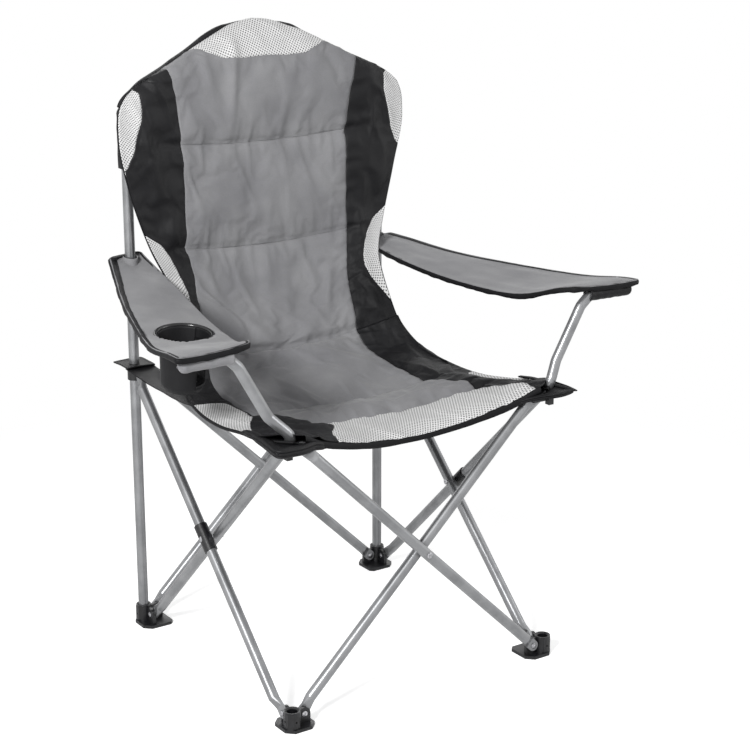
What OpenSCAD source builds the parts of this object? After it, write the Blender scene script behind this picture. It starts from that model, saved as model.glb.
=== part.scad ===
// Folding chair: four crossed tube pairs between four moulded feet, a sling seat and back,
// cloth armrests and a net cup holder. Front faces -Y, +Z is up, the origin is on the floor
// in the middle of the four feet. Millimetres.

/* [Frame] */
// Length of every crossed bar, from pivot to pivot
bar_len = 578; // [530:1:620]
// Lean of every bar from upright when the chair is open, degrees
open_angle = 46; // [42:0.5:48]
// Outer diameter of all frame tubes
tube_d = 16; // [15:0.5:17]
// Wall of all frame tubes
tube_wall = 1; // [0.8:0.1:1.5]
// Gap between the two tubes of a crossing
cross_gap = 3; // [2.6:0.2:4]
// Height of the lower pivots over the floor
pivot_h = 19; // [18:0.5:24]
// Height of the two rear posts over the floor
post_top = 830; // [780:5:880]

/* [Pivots] */
// Thickness of a bar end pressed flat
tab_t = 4.5; // [3.5:0.25:5]
// Width of a bar end pressed flat
tab_w = 17; // [15:0.5:17.5]
// Length of a pressed end between its pivot and the round tube
tab_len = 24; // [22:1:30]
// Diameter of the rivet shanks
rivet_d = 5; // [4:0.25:6]
// Diameter of the rivet heads
rivet_head_d = 9; // [8:0.5:10]
// Height of the rivet heads
rivet_head_h = 2; // [1.5:0.25:2.5]
// Radial clearance of every rivet in what turns on it
rivet_fit = 0.1; // [0.05:0.01:0.1]
// Side clearance between a bar end and its ear
side_fit = 0.3; // [0.2:0.05:0.5]

/* [Feet] */
// Distance of the ears from the pivots of the neighbouring side
corner_inset = 18; // [17:0.5:20]
// Thickness of the ears
ear_t = 5.4; // [4.5:0.1:6]
// Thickness of the sole plate
sole_t = 5; // [4:0.5:7]
// Reach of the sole inwards from the pivots
sole_in = 15; // [13:1:18]
// Reach of the sole outwards from the pivots
sole_out = 35; // [34:1:38]
// Chamfer on the corners of the sole
sole_chamfer = 11; // [7:1:13]
// Outer diameter of the post socket
socket_d = 24; // [23:0.5:24.5]
// Height of the post socket over the floor
socket_h = 31; // [28:1:36]
// Offset of the post from the pivots, both ways
post_offset = 21; // [21:0.5:23]
// Radial clearance of the post in its socket and its sliders
post_fit = 0.1; // [0.05:0.01:0.1]
// Diameter of the pin holes in the socket
pin_hole_d = 3; // [2:0.5:4]

/* [Sliders and brackets] */
// Outer diameter of the sliding sleeves on the posts
sleeve_d = 22; // [20.5:0.5:23]
// Reach of a slider below its pivots
sleeve_drop = 10; // [9.5:0.5:14]
// Reach of a slider above its pivots
sleeve_rise = 13; // [11:0.5:16]
// Length of the saddle between the tubes of a side crossing
saddle_len = 44; // [30:1:60]
// Wall of that saddle
saddle_wall = 1.8; // [1.4:0.1:2.2]

/* [Armrests] */
// Radius of the bends in the arm tubes
bend_r = 22; // [20:1:26]
// Height of the front end of the arm tubes over the upper pivots
arm_rise = 142; // [130:1:165]
// Reach of the arm tubes out from the side of the frame
arm_reach = 160; // [140:1:175]
// Thickness of the doubled armrest cloth
arm_cloth = 3; // [2:0.5:4]
// Diameter of the cup opening
cup_d = 74; // [66:1:80]
// Depth of the cup holder
cup_depth = 78; // [70:1:95]
// Thickness of the rim round the cup opening
cup_rim = 6.4; // [5:0.2:8]
// Wall of the cup net
cup_wall = 1.5; // [1:0.1:2.5]

/* [Seat and back] */
// Thickness of the carrying cloth
cloth = 3; // [2:0.5:4]
// Thickness of the padding on seat and back
pad = 8; // [6:1:12]
// Clearance between cloth and padding
cloth_fit = 0.5; // [0.3:0.1:1]
// Half width of the padded panel at the seat
pad_half = 146; // [120:1:155]
// Half width of the padded panel at the top of the back
pad_top_half = 172; // [150:1:185]
// Side of the square corner patches
patch = 48; // [44:1:54]
// Thickness of the corner patches
patch_t = 3; // [2:0.5:4]

/* [Hidden] */
$fn = 48;

steel = [0.62, 0.62, 0.63];
black = [0.14, 0.14, 0.15];
grey = [0.5, 0.5, 0.5];
net = [0.8, 0.8, 0.8];

half = bar_len * sin(open_angle) / 2;
top_h = pivot_h + bar_len * cos(open_angle);
plane = half + corner_inset;
cross_h = (pivot_h + top_h) / 2;
bar_off = (tube_d + cross_gap) / 2;
tab_off = ear_t / 2 + side_fit + tab_t / 2;
rivet_hole = rivet_d + 2 * rivet_fit;
post_xy = half + post_offset;
thin_ear_t = 2 * (bar_off - tube_d / 2 - side_fit);
tab_root = 10;
skin = 0.02;
bite = 0.2;

// ---------- placing ----------
// The four sides and corners are copies turned by 90 degrees: 0 front, 1 right, 2 rear, 3 left.
module side(k) { rotate([0, 0, 90 * k]) children(); }
// A corner's own frame: origin over its pivots, +X and +Y pointing away from the chair's middle.
module corner(k, h = 0) {
    rotate([0, 0, 90 * k]) translate([-half, -half, h]) rotate([0, 0, 180]) children();
}
module swap_sides() { mirror([1, -1, 0]) children(); }
// From the front of a side, an outer bar climbs to -X and an inner bar to +X.
module bar_frame(outer) {
    translate([outer ? half : -half, 0, pivot_h])
        rotate([0, outer ? -open_angle : open_angle, 0])
        translate([0, -plane, 0]) children();
}
module cross_y(d, from, to) {
    translate([0, from, 0]) rotate([-90, 0, 0]) cylinder(d = d, h = to - from);
}

// ---------- bars ----------
module pressed_end(out) {
    y = -out * tab_off;
    difference() {
        union() {
            translate([0, y + tab_t / 2, 0]) rotate([90, 0, 0]) linear_extrude(tab_t) union() {
                circle(d = tab_w);
                translate([-tab_w / 2, 0]) square([tab_w, tab_root]);
            }
            hull() {
                translate([0, y, tab_root - bite]) linear_extrude(skin)
                    square([tab_w - bite, tab_t - bite], center = true);
                translate([0, -out * bar_off, tab_len + bite])
                    cylinder(d = tube_d - bite, h = skin, $fn = 32);
            }
        }
        cross_y(rivet_hole, y - tab_t, y + tab_t);
    }
}
module round_tube(out, from, to) {
    translate([0, -out * bar_off, from]) difference() {
        cylinder(d = tube_d, h = to - from);
        translate([0, 0, -1]) cylinder(d = tube_d - 2 * tube_wall, h = to - from + 2);
    }
}
module bar(outer) {
    out = outer ? 1 : -1;
    color(steel) bar_frame(outer) {
        pressed_end(out);
        translate([0, 0, bar_len]) mirror([0, 0, 1]) pressed_end(out);
        difference() {
            round_tube(out, tab_len, bar_len - tab_len);
            translate([0, 0, bar_len / 2])
                cross_y(rivet_hole, -out * bar_off - tube_d, -out * bar_off + tube_d);
        }
    }
}

// ---------- bent arm tubes ----------
function unit(v) = v / norm(v);
function turn(p, i) = acos(unit(p[i] - p[i - 1]) * unit(p[i + 1] - p[i]));
function cut_back(p, i) = i == 0 || i == len(p) - 1 ? 0 : bend_r * tan(turn(p, i) / 2);
// Stations [point, direction] along a path whose corners are rounded to bend_r.
function stations(p) = concat([[p[0], unit(p[1] - p[0])]],
    [for (i = [1:len(p) - 2]) let (d1 = unit(p[i] - p[i - 1]), d2 = unit(p[i + 1] - p[i]),
        m = cross(unit(cross(d1, d2)), d1), c = p[i] - cut_back(p, i) * d1 + bend_r * m,
        n = max(1, round(turn(p, i) / bend_step))) for (k = [0:n]) let (a = turn(p, i) * k / n)
        [c + bend_r * (sin(a) * d1 - cos(a) * m), cos(a) * d1 + sin(a) * m]],
    [[p[len(p) - 1], unit(p[len(p) - 1] - p[len(p) - 2])]]);
bend_step = 10;
tube_sides = 24;
function square_to(n, d) = unit(n - (n * d) * d);
function tube_rings(q, r) = [for (j = 0, n = square_to([0.3, 0.9, 0], q[0][1]); j < len(q);
    j = j + 1, n = square_to(n, q[min(j, len(q) - 1)][1]))
    let (b = cross(q[j][1], n)) for (k = [0:tube_sides - 1]) let (a = 360 * k / tube_sides)
        q[j][0] + r * (cos(a) * n + sin(a) * b)];
// Round tube along the stations, open at both ends.
module swept_tube(q) {
    s = tube_sides;
    nr = len(q);
    m = nr * s;
    wall = [for (j = [0:nr - 2]) for (k = [0:s - 1]) [j * s + k, j * s + (k + 1) % s,
        (j + 1) * s + (k + 1) % s, (j + 1) * s + k]];
    faces = concat(
        [for (c = wall) each [[c[2], c[1], c[0]], [c[3], c[2], c[0]]]],
        [for (c = wall) each [[m + c[0], m + c[1], m + c[2]], [m + c[0], m + c[2], m + c[3]]]],
        [for (k = [0:s - 1]) let (l = (k + 1) % s)
            each [[k, l, m + l], [k, m + l, m + k]]],
        [for (k = [0:s - 1]) let (o = m - s, l = (k + 1) % s)
            each [[o + l, o + k, m + o + l], [o + k, m + o + k, m + o + l]]]);
    polyhedron(concat(tube_rings(q, tube_d / 2 - skin),
        tube_rings(q, (tube_d / 2 - tube_wall + skin) / cos(180 / tube_sides))), faces);
}
// Length of the arm tube past the upper pivot, up to its first bend.
first_turn = 19;
// Next bends as [out, forward, up] from the upper pivot, equal on both sides of the chair.
arm_turns = [[26, 7, 47], [71, 7, arm_rise - 17], [90, 8, arm_rise], [arm_reach, 14, arm_rise]];
arm_start = bar_len - tab_len;
function arm_path(out) = concat(
    [[-out * (arm_start * sin(open_angle) - half), -plane - out * bar_off,
        pivot_h + arm_start * cos(open_angle)]],
    [[-out * (half + first_turn * sin(open_angle)), -plane - out * bar_off,
        top_h + first_turn * cos(open_angle)]],
    [for (p = arm_turns) [-out * (half + p[1]), -plane - p[0], top_h + p[2]]]);
module arm_bar(outer) {
    out = outer ? 1 : -1;
    color(steel) difference() {
        union() {
            bar_frame(outer) {
                pressed_end(out);
                round_tube(out, tab_len, arm_start + 1);
            }
            swept_tube(stations(arm_path(out)));
        }
        bar_frame(outer) for (s = [bar_len / 2, bar_len]) translate([0, 0, s])
            cross_y(rivet_hole, -out * bar_off - tube_d, -out * bar_off + tube_d);
    }
}

// ---------- rivets ----------
module head() {
    rotate_extrude() intersection() {
        translate([0, rivet_head_h - rivet_head_d]) circle(r = rivet_head_d);
        square([rivet_head_d / 2, rivet_head_h]);
    }
}
// A rivet along Y whose heads bear at y0 and y1.
module rivet(y0, y1) {
    color(steel) {
        cross_y(rivet_d, y0 - skin, y1 + skin);
        translate([0, y1, 0]) rotate([-90, 0, 0]) head();
        translate([0, y0, 0]) rotate([90, 0, 0]) head();
    }
}
// Rivet of a crossing, with the steel washer that parts the tubes at front and rear.
module cross_rivet(washer) {
    reach = bar_off + tube_d / 2 + side_fit / 2;
    wide = cross_gap / 2 - side_fit / 2;
    translate([0, -plane, cross_h]) {
        rivet(-reach, reach);
        if (washer) color(steel) difference() {
            cross_y(rivet_head_d + 3, -wide, wide);
            cross_y(rivet_hole, -wide - 1, wide + 1);
        }
    }
}
// Snap-on saddle that parts the two tubes where a side crosses, round the outer one.
module saddle() {
    r = tube_d / 2 + side_fit;
    far = r + saddle_wall + 1;
    color(black) translate([0, -plane - bar_off, cross_h]) rotate([0, -open_angle, 0])
        difference() {
            translate([0, 0, -saddle_len / 2]) cylinder(r = r + saddle_wall, h = saddle_len);
            translate([0, 0, -saddle_len / 2 - 1]) cylinder(r = r, h = saddle_len + 2);
            translate([-far, -saddle_slit / 2, -saddle_len / 2 - 1])
                cube([far, saddle_slit, saddle_len + 2]);
            cross_y(rivet_head_d + 1.5, -far, 0);
            cross_y(rivet_hole, 0, far);
        }
}
saddle_slit = 7;

// ---------- feet ----------
module sole_outline() {
    c = sole_chamfer;
    a = -sole_in;
    b = sole_out;
    polygon([[a + c / 2, a], [b - c, a], [b, a + c], [b, b - c], [b - c, b], [a + c, b],
        [a, b - c], [a, a + c / 2]]);
}
module ear(t, reach, low, high) {
    translate([corner_inset - t / 2, 0, 0]) rotate([90, 0, 90]) linear_extrude(t) union() {
        circle(r = reach);
        translate([-reach, low]) square([2 * reach, -low]);
        translate([0, low]) square([post_offset, high - low]);
    }
}
module ear_bore() {
    translate([corner_inset - ear_t, 0, 0]) rotate([0, 90, 0]) cylinder(d = rivet_hole, h = 2 * ear_t);
}
module foot() {
    color(black) difference() {
        union() {
            linear_extrude(sole_t) sole_outline();
            translate([post_offset, post_offset, 0]) cylinder(d = socket_d, h = socket_h);
            intersection() {
                translate([corner_inset - ear_t / 2, corner_inset - ear_t / 2, 0])
                    cube([sole_out - corner_inset, sole_out - corner_inset, socket_h - 3]);
                linear_extrude(socket_h) sole_outline();
            }
            translate([0, 0, pivot_h]) {
                ear(ear_t, 10, sole_t / 2 - pivot_h, 9);
                swap_sides() ear(ear_t, 10, sole_t / 2 - pivot_h, 9);
            }
        }
        translate([post_offset, post_offset, sole_t])
            cylinder(d = tube_d + 2 * post_fit, h = socket_h);
        translate([post_offset, post_offset, socket_h - 2])
            cylinder(d1 = tube_d + 2 * post_fit, d2 = tube_d + 5, h = 2.01);
        translate([0, 0, pivot_h]) {
            ear_bore();
            swap_sides() ear_bore();
        }
        for (a = [0, 90]) translate([post_offset, post_offset, sole_t + 11]) rotate([0, 90, a])
            cylinder(d = pin_hole_d, h = sole_out);
    }
}
// Rivets along a corner's Y: an outer bar hangs outside its ear, an inner bar inside.
ear_in = corner_inset - ear_t / 2;
ear_out = corner_inset + ear_t / 2;
module outer_rivet() { rivet(ear_in - side_fit / 2, ear_out + tab_t + 1.5 * side_fit); }
module inner_rivet() { rivet(ear_in - tab_t - 1.5 * side_fit, ear_out + side_fit / 2); }
module along_x() { rotate([0, 0, -90]) children(); }
module foot_rivets() {
    along_x() outer_rivet();
    inner_rivet();
}
module slider_rivets() {
    along_x() inner_rivet();
    outer_rivet();
}
// An arm tube runs on past its bracket, so its rivet goes through the round tube.
module bracket_rivets(arm_outer) {
    tube_side = bar_off + tube_d / 2 + side_fit / 2;
    ear_side = (thin_ear_t + side_fit) / 2;
    if (arm_outer) {
        along_x() inner_rivet();
        rivet(corner_inset - ear_side, corner_inset + tube_side);
    } else {
        outer_rivet();
        along_x() rivet(corner_inset - tube_side, corner_inset + ear_side);
    }
}
module post() {
    color(steel) translate([post_xy, post_xy, sole_t]) difference() {
        cylinder(d = tube_d, h = post_top - sole_t);
        translate([0, 0, -1]) cylinder(d = tube_d - 2 * tube_wall, h = post_top);
    }
}

// ---------- sliders and front brackets ----------
module slider() {
    color(black) difference() {
        union() {
            translate([post_offset, post_offset, -sleeve_drop])
                cylinder(d = sleeve_d, h = sleeve_drop + sleeve_rise);
            ear(ear_t, 9, -9, sleeve_rise);
            swap_sides() ear(ear_t, 9, -9, sleeve_rise);
        }
        translate([post_offset, post_offset, -sleeve_drop - 1])
            cylinder(d = tube_d + 2 * post_fit, h = sleeve_drop + sleeve_rise + 2);
        ear_bore();
        swap_sides() ear_bore();
    }
}
// Front corner bracket: a thin ear beside the arm tube and a full one for the pressed bar end.
bracket_r = 8;
bracket_top = 4;
module bracket_of() {
    color(black) difference() {
        union() {
            ear(ear_t, bracket_r, -bracket_r, bracket_top);
            swap_sides() ear(thin_ear_t, bracket_r, -bracket_r, bracket_top / 2);
            translate([corner_inset - 1, corner_inset - 1, -14]) cube([9, 9, 14 + bracket_top]);
        }
        ear_bore();
        swap_sides() ear_bore();
    }
}
module bracket(arm_outer) {
    if (arm_outer) bracket_of();
    else swap_sides() bracket_of();
}

// ---------- sling ----------
// The lines of the cloth are given for posts 228.9 mm from the middle, and follow the posts.
given_xy = 228.9;
spread = post_xy - given_xy;
wide = post_xy / given_xy;
// Middle line of the sling as [y, height over the upper pivots], front hem to top of the back.
mid_line = [for (p = [[-200, -35], [-167, -26], [-100, -27], [-40, -27], [40, -19], [100, -1], [134, 20],
    [153, 36], [175, 68], [195, 108], [211, 188], [214, 268], [213, 351], [208, 460],
    [220, 505], [237, 531]]) [p[0] * wide, p[1]]];
// Its side edge as [x, y, height]: corner tip, hem, wing, waist, shoulder and crown.
edge_line = [for (p = [[214, -238, 11], [250, -195, 10], [239, -120, -2], [235, -50, -11], [230, 20, -9],
    [218, 80, 5], [196, 110, 42], [186, 130, 88], [189, 158, 128], [196, 176, 160],
    [215, 190, 208], [240, 197, 290], [256, 196, 372], [240, 201, 432], [150, 217, 478],
    [50, 233, 524]]) [p[0] + spread, p[1] * wide, p[2]]];
fold_at = 3;
crease_at = 7;
joint_gap = 0.01;
function knot(l, i) = l[max(0, min(len(l) - 1, i))];
function bow(l, t) = let (i = floor(t), f = t - i, a = knot(l, i - 1), b = knot(l, i),
    c = knot(l, i + 1), d = knot(l, i + 2))
    b + f / 2 * (c - a + f * (2 * a - 5 * b + 4 * c - d + f * (3 * (b - c) + d - a)));
function sling(t, x) = let (m = bow(mid_line, t), e = bow(edge_line, t), u = x / e[0], w = u * u)
    [x, m[0] + (e[1] - m[0]) * w, top_h + m[1] + (e[2] - m[1]) * w];
// Direction away from the sitter at a station.
function away(t) = let (v = bow(mid_line, min(t + 0.1, 15)) - bow(mid_line, max(t - 0.1, 0)),
    s = v / norm(v)) [0, s[1], -s[0]];
function steps(a, b, n) = [for (i = [0:n]) a + (b - a) * i / n];
module sheet(front, back) {
    nu = len(front);
    nv = len(front[0]);
    n = nu * nv;
    flat = [for (r = [front, back]) for (q = r) for (p = q) p];
    cells = [for (i = [0:nu - 2]) for (j = [0:nv - 2]) [i * nv + j, (i + 1) * nv + j,
        (i + 1) * nv + j + 1, i * nv + j + 1]];
    rim = concat([for (i = [0:nu - 1]) i * nv], [for (j = [1:nv - 1]) (nu - 1) * nv + j],
        [for (i = [nu - 2:-1:0]) i * nv + nv - 1], [for (j = [nv - 2:-1:1]) j]);
    faces = concat(
        [for (c = cells) each [[c[0], c[1], c[2]], [c[0], c[2], c[3]]]],
        [for (c = cells) each [[n + c[2], n + c[1], n + c[0]], [n + c[3], n + c[2], n + c[0]]]],
        [for (k = [0:len(rim) - 1]) let (a = rim[k], b = rim[(k + 1) % len(rim)])
            each [[a, n + b, b], [a, n + a, n + b]]]);
    polyhedron(flat, faces);
}
// Cloth from station t0 to t1, its face away from the sitter.
module sling_cloth(rows) {
    n = len(rows) - 1;
    across = steps(-1, 1, 12);
    face = [for (t = rows) [for (u = across) sling(t, u * bow(edge_line, t)[0])]];
    sheet(face, [for (i = [0:n]) [for (p = face[i]) p + cloth * away(rows[i])]]);
}
function pad_width(t) = t < crease_at + 3 ? pad_half :
    pad_half + (pad_top_half - pad_half) * min(1, (t - crease_at - 3) / 3);
module sling_pad(rows) {
    n = len(rows) - 1;
    across = steps(-1, 1, 8);
    under = [for (t = rows) [for (u = across)
        sling(t, u * min(pad_width(t), bow(edge_line, t)[0] - 6)) - cloth_fit * away(t)]];
    sheet([for (i = [0:n]) [for (j = [0:8])
        under[i][j] - (abs(across[j]) == 1 ? 0.35 : 1) * pad * away(rows[i])]], under);
}
seat_rear_rows = steps(fold_at + joint_gap, crease_at - joint_gap, 10);
back_rows = steps(crease_at + joint_gap, 15, 22);
// Square patch on a slider, with the post through it.
patch_h = top_h + sleeve_rise + side_fit;
module rear_patch(k) {
    color(black) corner(k, patch_h) translate([post_offset, post_offset, 0]) difference() {
        translate([-patch / 2, -patch / 2, 0]) cube([patch, patch, patch_t]);
        translate([0, 0, -1]) cylinder(d = tube_d + 1, h = patch_t + 2);
    }
}
// Pointed patch over a bracket. The arm tube, bent out by arm_shift at this height, goes through it.
front_h = top_h + tab_w / 2 + side_fit;
arm_shift = 1.6;
patch_in = 11;
module front_patch(arm_outer) {
    at = corner_inset + (arm_outer ? bar_off : -bar_off) + arm_shift;
    lie = (front_h + patch_t / 2 - top_h) * tan(open_angle);
    color(black) translate([0, 0, front_h]) difference() {
        linear_extrude(patch_t) polygon([[-patch_in, -patch_in], [40, -13], [54, 45], [-13, 36]]);
        translate(arm_outer ? [lie, at, -1] : [at, lie, -1])
            cylinder(d = tube_d + 12, h = patch_t + 2);
    }
}
// Three-cornered cloth between a rear patch and the side hem.
module gusset() {
    back_y = post_xy - patch / 2 - side_fit;
    tip = [bow(edge_line, 4.4)[0] + 3, bow(edge_line, 4.4)[1], top_h - 2];
    a = [post_xy - 18, back_y, patch_h];
    b = [post_xy + 18, back_y, patch_h];
    up = [0, 0, cloth];
    color(black) polyhedron([a, b, tip, a + up, b + up, tip + up],
        [[2, 1, 0], [4, 5, 3], [1, 4, 0], [4, 3, 0], [2, 5, 1], [5, 4, 1], [0, 3, 2], [3, 5, 2]]);
}
// Closed cloth pocket on the back that the top of a post stands in.
pocket_y = 204;
module pocket() {
    color(black) difference() {
        union() {
            translate([post_xy, post_xy, post_top - 75]) cylinder(d = tube_d + 6, h = 80);
            translate([post_xy - 6, pocket_y, post_top - 75]) cube([12, post_xy - pocket_y, 80]);
        }
        translate([post_xy, post_xy, post_top - 76]) cylinder(d = tube_d + 0.6, h = 76.3);
    }
}

// ---------- armrests ----------
// Inner and outer edge as [out from the middle, y, height over the upper pivots].
arm_in = [for (p = [[206, 243, 177], [198, 200, 161], [203, 110, 143], [222, 0, 130],
    [246, -120, 129], [268, -195, 149.5], [284, -224, 154.5]]) [p[0] + spread, p[1] * wide, p[2]]];
arm_out = [for (p = [[260, 240, 173], [272, 200, 163], [304, 110, 147], [341, 0, 142],
    [379, -120, 142], [393, -200, 151.5], [397, -236, 153.5]]) [p[0] + spread, p[1] * wide, p[2]]];
// The loop of the left armrest sits higher on its post than the right one.
rear_lift = 12;
function arm_point(t, u, high) = let (a = bow(arm_in, t), b = bow(arm_out, t),
    rise = high * pow(max(0, 1 - t / 2.5), 2))
    a + (b - a) * u + [0, 0, top_h + rise - arm_sag * u * (1 - u)];
arm_sag = 10;
module armrest(cup) {
    rows = steps(0, 6, 18);
    across = steps(0, 1, 6);
    low = [for (t = rows) [for (u = across) arm_point(t, u, cup ? rear_lift : -rear_lift)]];
    color(grey) difference() {
        sheet(low, [for (r = low) [for (p = r) p + [0, 0, arm_cloth]]]);
        translate([post_xy, post_xy, top_h]) cylinder(d = tube_d + 1, h = post_top - top_h);
        if (cup) translate([cup_xy[0], cup_xy[1], top_h])
            cylinder(d = cup_d + 2 * cup_rim + 2 * side_fit, h = 2 * cup_h);
    }
}
cup_xy = [299 + spread, -71 * wide];
cup_h = 137;
module cup_place() { translate([-cup_xy[0], cup_xy[1], top_h + cup_h]) rotate([7, 0, 0]) children(); }

module cup_ring_of() {
    color(black) cup_place() rotate_extrude() translate([(cup_d + cup_rim) / 2, 0]) circle(d = cup_rim);
}
module cup_net_of() {
    top = cup_d / 2 - side_fit;
    low = top - 7;
    color([0.2, 0.2, 0.2]) cup_place() translate([0, 0, -cup_depth]) rotate_extrude()
        polygon([[0, 0], [low, 0], [top, cup_depth], [top - cup_wall, cup_depth],
            [low - cup_wall, cup_wall], [0, cup_wall]]);
}
module left() { mirror([1, 0, 0]) children(); }
// The front cloth leaves the two corners to the patches and to the bars below them.
notch_in = 16;
notch_back = 13.4;
module corner_notch() {
    for (k = [0, 1]) mirror([k, 0, 0]) translate([half - notch_in, -half - 2 * patch, 0])
        cube([3 * patch, 2 * patch + notch_back, 2 * top_h]);
}

corner(3) foot();  // foot_rear_left
corner(0) foot();  // foot_front_left
corner(1) foot();  // foot_front_right
corner(2) foot();  // foot_rear_right
left() post();  // post_left
post();  // post_right
side(3) bar(true);  // bar_left_outer
side(3) arm_bar(false);  // arm_bar_left
side(0) bar(false);  // bar_front_inner
side(0) bar(true);  // bar_front_outer
side(2) bar(true);  // bar_rear_outer
side(2) bar(false);  // bar_rear_inner
side(1) arm_bar(true);  // arm_bar_right
side(1) bar(false);  // bar_right_inner
corner(3, top_h) slider();  // slider_left
corner(2, top_h) slider();  // slider_right
corner(0, top_h) bracket(false);  // bracket_left
corner(1, top_h) bracket(true);  // bracket_right
side(3) saddle();  // saddle_left
side(1) saddle();  // saddle_right
corner(3, pivot_h) foot_rivets();  // rivets_foot_rear_left
corner(0, pivot_h) foot_rivets();  // rivets_foot_front_left
corner(1, pivot_h) foot_rivets();  // rivets_foot_front_right
corner(2, pivot_h) foot_rivets();  // rivets_foot_rear_right
side(3) cross_rivet(false);  // rivet_cross_left
side(0) cross_rivet(true);  // rivet_cross_front
side(2) cross_rivet(true);  // rivet_cross_rear
side(1) cross_rivet(false);  // rivet_cross_right
corner(3, top_h) slider_rivets();  // rivets_slider_left
corner(2, top_h) slider_rivets();  // rivets_slider_right
corner(0, top_h) bracket_rivets(false);  // rivets_bracket_left
corner(1, top_h) bracket_rivets(true);  // rivets_bracket_right
rear_patch(3);  // patch_rear_left
rear_patch(2);  // patch_rear_right
corner(0) front_patch(false);  // patch_front_left
corner(1) front_patch(true);  // patch_front_right
color(black) sling_cloth(seat_rear_rows);  // seat_cloth_rear
color(grey) sling_pad(seat_rear_rows);  // seat_pad_rear
color(black) difference() {  // seat_cloth_front
    sling_cloth(steps(0, fold_at - joint_gap, 8));
    corner_notch();
}
color(grey) sling_pad(steps(1, fold_at - joint_gap, 5));  // seat_pad_front
left() gusset();  // gusset_left
gusset();  // gusset_right
color(black) sling_cloth(back_rows);  // back_cloth
color(grey) sling_pad([for (i = [0:20]) back_rows[i]]);  // back_pad
left() pocket();  // pocket_left
pocket();  // pocket_right
left() armrest(true);  // armrest_left
armrest(false);  // armrest_right
cup_ring_of();  // cup_rim_ring
cup_net_of();  // cup_net
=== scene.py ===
import math

import bmesh
import bpy
import numpy as np
from mathutils import Matrix, Vector, noise


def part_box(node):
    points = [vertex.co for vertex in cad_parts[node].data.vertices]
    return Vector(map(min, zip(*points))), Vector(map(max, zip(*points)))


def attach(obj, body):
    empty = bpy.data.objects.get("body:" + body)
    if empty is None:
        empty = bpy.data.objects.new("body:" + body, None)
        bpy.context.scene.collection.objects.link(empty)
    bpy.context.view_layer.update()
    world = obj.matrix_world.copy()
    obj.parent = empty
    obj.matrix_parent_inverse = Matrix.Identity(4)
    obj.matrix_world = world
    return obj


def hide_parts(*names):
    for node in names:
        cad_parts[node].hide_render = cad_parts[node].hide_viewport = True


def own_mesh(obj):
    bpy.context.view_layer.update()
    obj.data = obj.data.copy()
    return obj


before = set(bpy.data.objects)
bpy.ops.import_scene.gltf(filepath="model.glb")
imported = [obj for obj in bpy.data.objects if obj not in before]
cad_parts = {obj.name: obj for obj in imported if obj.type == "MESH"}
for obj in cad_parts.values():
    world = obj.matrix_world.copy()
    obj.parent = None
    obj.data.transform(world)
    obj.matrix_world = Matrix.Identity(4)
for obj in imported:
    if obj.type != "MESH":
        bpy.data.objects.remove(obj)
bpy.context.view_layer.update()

# ---- Studio -------------------------------------------------------------------------------
# A white sweep that shows white to the camera and to the gloss, and keeps a soft shadow of the
# chair. The lamps stay low enough that a cloth renders about as its colour is written.


def hex_rgb(code):
    """sRGB hex to linear colour."""
    parts = [int(code[i : i + 2], 16) / 255 for i in (0, 2, 4)]
    return [p / 12.92 if p <= 0.04045 else ((p + 0.055) / 1.055) ** 2.4 for p in parts] + [1.0]


def add_node(tree, kind, links=(), **settings):
    """Adds a node, sets its properties or sockets, and links (socket, source socket) pairs."""
    made = tree.nodes.new(kind)
    for key, value in settings.items():
        if hasattr(made, key):
            setattr(made, key, value)
        else:
            made.inputs[key.replace("_", " ")].default_value = value
    for name, source in links:
        tree.links.new(source, made.inputs[name])
    return made


def aim(obj, at):
    obj.rotation_euler = (Vector(at) - obj.location).to_track_quat("-Z", "Y").to_euler()


scene = bpy.context.scene
scene.view_settings.view_transform = "Standard"
YAW, PITCH = math.radians(34.241), math.radians(16.213)
camera = bpy.data.objects.new("camera", bpy.data.cameras.new("camera"))
camera.location = (-1.4376, -2.214, 1.2016)
camera.rotation_euler = (math.pi / 2 - PITCH, 0, -YAW)
camera.data.lens = 86.4
camera.data.sensor_width = 36
scene.collection.objects.link(camera)
scene.camera = camera


def lamp(name, place, at, size, power):
    light = bpy.data.lights.new(name, "AREA")
    light.size, light.energy = size, power
    holder = bpy.data.objects.new(name, light)
    holder.location = place
    scene.collection.objects.link(holder)
    aim(holder, at)


lamp("key", (-2.7, -1.7, 2.1), (0, 0, 0.55), 0.6, 118)
lamp("side", (2.4, -1.6, 1.5), (0, 0, 0.5), 1.2, 20)
lamp("back", (0.8, 2.4, 2.4), (0, 0, 0.6), 1.4, 24)

world = bpy.data.worlds.new("studio")
scene.world = world
world.use_nodes = True
tree = world.node_tree
tree.nodes.clear()
path = add_node(tree, "ShaderNodeLightPath")
seen = add_node(tree, "ShaderNodeMath", [(0, path.outputs["Is Camera Ray"]),
    (1, path.outputs["Is Glossy Ray"])], operation="MAXIMUM")
seen = add_node(tree, "ShaderNodeMath", [(0, seen.outputs[0]),
    (1, path.outputs["Is Transmission Ray"])], operation="MAXIMUM")
fill = add_node(tree, "ShaderNodeBackground", Color=hex_rgb("ffffff"), Strength=0.28)
white = add_node(tree, "ShaderNodeBackground", Color=hex_rgb("ffffff"), Strength=1.0)
both = add_node(tree, "ShaderNodeMixShader", [(0, seen.outputs[0]), (1, fill.outputs[0]),
    (2, white.outputs[0])])
add_node(tree, "ShaderNodeOutputWorld", [("Surface", both.outputs[0])])

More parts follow.
